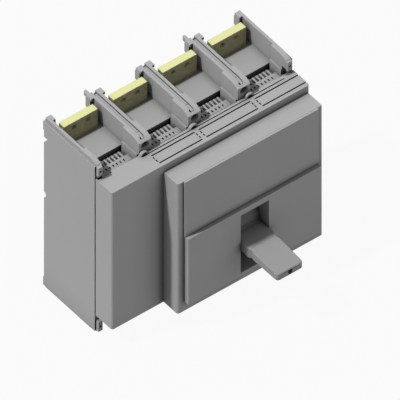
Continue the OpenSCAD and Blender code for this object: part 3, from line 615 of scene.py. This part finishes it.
def new_box(name, low, high):
    """A box between two corners, with its place in its mesh."""
    bpy.ops.object.select_all(action="DESELECT")
    bpy.ops.mesh.primitive_cube_add(size=1, location=(Vector(low) + Vector(high)) / 2)
    obj = bpy.context.object
    obj.name = name
    obj.scale = Vector(high) - Vector(low)
    bpy.ops.object.transform_apply(location=True, rotation=False, scale=True)
    return obj


ALONG = {"x": (0, math.pi / 2, 0), "y": (math.pi / 2, 0, 0)}


def new_rod(axis, radius, length, centre, vertices):
    """A cylinder along the x or the y axis, with its place in its mesh."""
    bpy.ops.object.select_all(action="DESELECT")
    bpy.ops.mesh.primitive_cylinder_add(
        vertices=vertices, radius=radius, depth=length, location=centre, rotation=ALONG[axis])
    bpy.ops.object.transform_apply(location=True, rotation=True, scale=True)
    return bpy.context.object


# %% [markdown]
# The panels, the handle, the front case and the bars need nothing but the soft
# edge. The list gives the CAD node, the new piece and its edge in millimetres.
# The handle has the widest edge, because hands meet it. A vent insert has slots
# so fine that its edge is the smallest, and its front end, which meets the front
# case, stays sharp.

# %% Soft edges on the small mouldings and the bars
VENT_EDGE = 0.25
joint_plane = corners_of(nodes["front_case"])[1].y
SOFT_PIECES = [
    ("lower_panel", "lower_panel_moulding", 0.6),
    ("upper_panel", "upper_panel_moulding", 0.3),
    ("handle", "handle_moulding_piece", 1.0),
    ("front_case", "front_case_moulding", 0.4),
]
SOFT_PIECES += [("line_terminal_%d" % n, "line_bar_%d" % n, 0.6) for n in range(1, 5)]
SOFT_PIECES += [("load_terminal_%d" % n, "load_bar_%d" % n, 0.6) for n in range(1, 5)]
for node, name, edge_mm in SOFT_PIECES:
    piece = merged_copy(node, name)
    soften(piece, edge_mm, joint_plane)
    stand_in(piece, node)
    print(name, len(piece.data.polygons), "faces")
for n in range(1, 5):
    piece = merged_copy("vent_comb_%d" % n, "vent_insert_%d" % n)
    soften(piece, VENT_EDGE, corners_of(piece)[0].y)
    stand_in(piece, "vent_comb_%d" % n)
print("vent inserts,", len(piece.data.polygons), "faces each")

# %% [markdown]
# The raised cover is a deep lid. In the photograph its left front edge is
# rounded more tightly than the simple solid has it, so it is modelled anew: a
# box with its two upright front edges bevelled, hollowed from behind, and cut
# through for the handle. The slot's place is measured on the lower panel, whose
# slot it has to meet. A thin collar behind the slot reaches to the swing of the
# handle's shutter, so that no gap shows beside it, as none shows in the photograph.
# The swing is a cylinder about the handle's pivot pins, a little wider than the shutter.

# %% Raised cover
LEFT_EDGE_ROUND, RIGHT_EDGE_ROUND = 3.2 * MM, 1 * MM
COVER_WALL, COVER_LEFT_WALL = 4 * MM, 10 * MM
COVER_EDGE = 0.3
BEYOND = 1 * MM
EDGE_REACH = 0.1 * MM
COLLAR_T, COLLAR_DEPTH = 1.5 * MM, 14 * MM
SHUTTER_R, SHUTTER_GAP = 52.5 * MM, 0.4 * MM
SWING_LENGTH = 100 * MM
RIM_X, RIM_Z = 20 * MM, 5 * MM
low, high = corners_of(nodes["raised_cover"])
panel_low, panel_high = corners_of(nodes["lower_panel"])
inner = [v.co for v in nodes["lower_panel"].data.vertices
         if panel_low.x + RIM_X < v.co.x < panel_high.x - RIM_X
         and panel_low.z + RIM_Z < v.co.z < panel_high.z - RIM_Z]
slot_low = Vector((min(p.x for p in inner), low.y - BEYOND, min(p.z for p in inner)))
slot_high = Vector((max(p.x for p in inner), low.y + COVER_WALL + BEYOND, max(p.z for p in inner)))
cover = new_box("raised_cover_moulding", low, high)
for edge_x, radius in ((low.x, LEFT_EDGE_ROUND), (high.x, RIGHT_EDGE_ROUND)):
    select_edges(cover, lambda p: abs(p.x - edge_x) < EDGE_REACH and abs(p.y - low.y) < EDGE_REACH)
    bpy.ops.mesh.bevel(offset=radius, segments=10, affect="EDGES")
    bpy.ops.object.mode_set(mode="OBJECT")
cut(cover, new_box("cavity", low + Vector((COVER_LEFT_WALL, COVER_WALL, COVER_WALL)),
                   Vector((high.x - COVER_WALL, high.y + BEYOND, high.z - COVER_WALL))))
collar_front = low.y + COVER_WALL - BEYOND
collar = new_box("collar", (slot_low.x - COLLAR_T, collar_front, slot_low.z - COLLAR_T),
                 (slot_high.x + COLLAR_T, collar_front + COLLAR_DEPTH, slot_high.z + COLLAR_T))
pin_low, pin_high = corners_of(nodes["handle_pivot_pins"])
pivot = (pin_low + pin_high) / 2
cut(collar, new_rod("x", SHUTTER_R + SHUTTER_GAP, SWING_LENGTH, pivot, 256))
combine(cover, collar, "UNION")
slot_high.y = collar_front + COLLAR_DEPTH + BEYOND
cut(cover, new_box("slot", slot_low, slot_high))
soften(cover, COVER_EDGE, high.y)
stand_in(cover, "raised_cover")
slot_size = [round(v / MM, 1) for v in slot_high - slot_low]
print("raised cover", len(cover.data.polygons), "faces, slot", slot_size)

# %% [markdown]
# The base carries the bays. Its partitions end in front in a block with a wide
# tunnel for a mounting screw, and the tunnel's mouth is opened out a little, as
# the photograph shows it: a cylinder in front of each partition is cut away.

# %% Base with opened tunnel mouths
MOUTH_R, MOUTH_DEPTH = 5.5 * MM, 5 * MM
MOUNT_Z = 122.75 * MM
PARTITION_X = [-70 * MM, 0, 70 * MM]
base = merged_copy("base", "base_moulding")
base_low, base_high = corners_of(nodes["base"])
for x in PARTITION_X:
    for z in (-MOUNT_Z, MOUNT_Z):
        cut(base, new_rod("y", MOUTH_R, 2 * MOUTH_DEPTH, (x, base_low.y, z), 48))
print("tunnel mouths,", len(base.data.polygons), "faces")

# %% [markdown]
# Along the top of each partition runs a guide for a barrier plate. In the
# photograph it is a shallow channel: its floor catches the light between two
# thin dark lines. So a strip is joined into the slot, with its top a little
# below the partition's. Where the top edge falls away in an arc, the strip is
# cut by a cylinder of nearly the same arc, so that it keeps its depth. The strip
# is there for the looks alone: the CAD base keeps its slot open, 6 mm deep, for
# the barrier's foot, and here 1.3 mm of that depth is left.

# %% Channel floors in the partitions
CHANNEL_HALF_W, CHANNEL_DEPTH, CHANNEL_FOOT = 1.75 * MM, 1.3 * MM, 127 * MM
CHANNEL_REAR, CHANNEL_FRONT_SOLID = 6 * MM, 6 * MM
TOP_FALL, FALL_START = 5 * MM, 81.5 * MM
ROD_LENGTH = 20 * MM
BASE_EDGE = 0.35
fall_run = -base_low.y - FALL_START
arc_r = (fall_run ** 2 + TOP_FALL ** 2) / (2 * TOP_FALL)
channel_front = base_low.y + CHANNEL_FRONT_SOLID
channel_top = base_high.z - CHANNEL_DEPTH
for x in PARTITION_X:
    left, right = x - CHANNEL_HALF_W, x + CHANNEL_HALF_W
    for side in (1, -1):
        z0, z1 = sorted((side * CHANNEL_FOOT, side * channel_top))
        rear = new_box("channel_rear", (left, -FALL_START, z0), (right, -CHANNEL_REAR, z1))
        front = new_box("channel_front", (left, channel_front, z0), (right, -FALL_START, z1))
        arc_centre = (x, -FALL_START, side * (base_high.z - arc_r))
        arc = new_rod("x", arc_r - CHANNEL_DEPTH, ROD_LENGTH, arc_centre, 512)
        combine(front, arc, "INTERSECT")
        combine(base, front, "UNION")
        combine(base, rear, "UNION")
soften(base, BASE_EDGE, joint_plane)
stand_in(base, "base")
print("base", len(base.data.polygons), "faces")

# %% [markdown]
# Inside, a flat lead woven from thin copper wire joins each load bar to the tail
# of its contact arm. It has to bend when the arm swings. The steps are small,
# because the weave is: 2.4 mm from wire bundle to wire bundle.

# %% Woven leads
LEAD_T, WEAVE_PITCH, WEAVE_HEIGHT = 4 * MM, 2.4 * MM, 0.3 * MM
LEAD_STEP = 0.4 * MM
LEAD_BEND_R = 14 * MM
LEAD_BEND = LEAD_BEND_R * math.pi / 2
LEAD_GRIP = 4 * MM


def lead_path(along, foot, run):
    """Place and normal on the middle line: a run forwards, a quarter bend, then straight up."""
    if along < run:
        return foot + Vector((0, -along, 0)), Vector((0, 0, 1))
    centre = foot + Vector((0, -run, LEAD_BEND_R))
    turn = (along - run) / LEAD_BEND_R
    if turn < math.pi / 2:
        normal = Vector((0, math.sin(turn), math.cos(turn)))
        return centre - normal * LEAD_BEND_R, normal
    rise = along - run - LEAD_BEND
    return centre + Vector((0, -LEAD_BEND_R, rise)), Vector((0, 1, 0))


def weave_at(across, along):
    """Height of the weave, from -1 to 1: two waves that cross on the diagonals."""
    one_way = math.sin(math.pi * (along + across) / WEAVE_PITCH)
    other_way = math.sin(math.pi * (along - across) / WEAVE_PITCH)
    return one_way * other_way


for n in range(1, 5):
    low, high = corners_of(nodes["braid_%d" % n])
    foot = Vector(((low.x + high.x) / 2, high.y, low.z + LEAD_T / 2))
    run = high.y - low.y - LEAD_T / 2 - LEAD_BEND_R
    length = run + LEAD_BEND + (high.z - foot.z - LEAD_BEND_R)
    width = high.x - low.x
    columns, rows = round(width / LEAD_STEP), round(length / LEAD_STEP)
    bpy.ops.object.select_all(action="DESELECT")
    bpy.ops.mesh.primitive_grid_add(x_subdivisions=columns, y_subdivisions=rows, size=1)
    lead = bpy.context.object
    lead.name = "woven_lead_%d" % n
    for vertex in lead.data.vertices:
        across, along = vertex.co.x * width, (vertex.co.y + 0.5) * length
        place, normal = lead_path(along, foot, run)
        raised = normal * WEAVE_HEIGHT * weave_at(across, along)
        vertex.co = place + Vector((across, 0, 0)) + raised
    only(lead)
    thick = lead.modifiers.new("thickness", "SOLIDIFY")
    thick.thickness = LEAD_T - 2 * WEAVE_HEIGHT
    thick.offset = 0
    bpy.ops.object.modifier_apply(modifier="thickness")
    bpy.ops.object.shade_smooth_by_angle(angle=math.radians(SMOOTH_DEG))
    bend_start = foot + Vector((0, -run, 0))
    bend_end = Vector((foot.x, low.y + LEAD_T / 2, high.z - LEAD_GRIP))
    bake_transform(lead, "case", "contact_shaft", bend_start, bend_end)
    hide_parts("braid_%d" % n)
    lead.data.materials.append(finishes[slots["braid_%d" % n]])
print("woven leads,", len(lead.data.polygons), "faces each, length", round(length / MM), "mm")
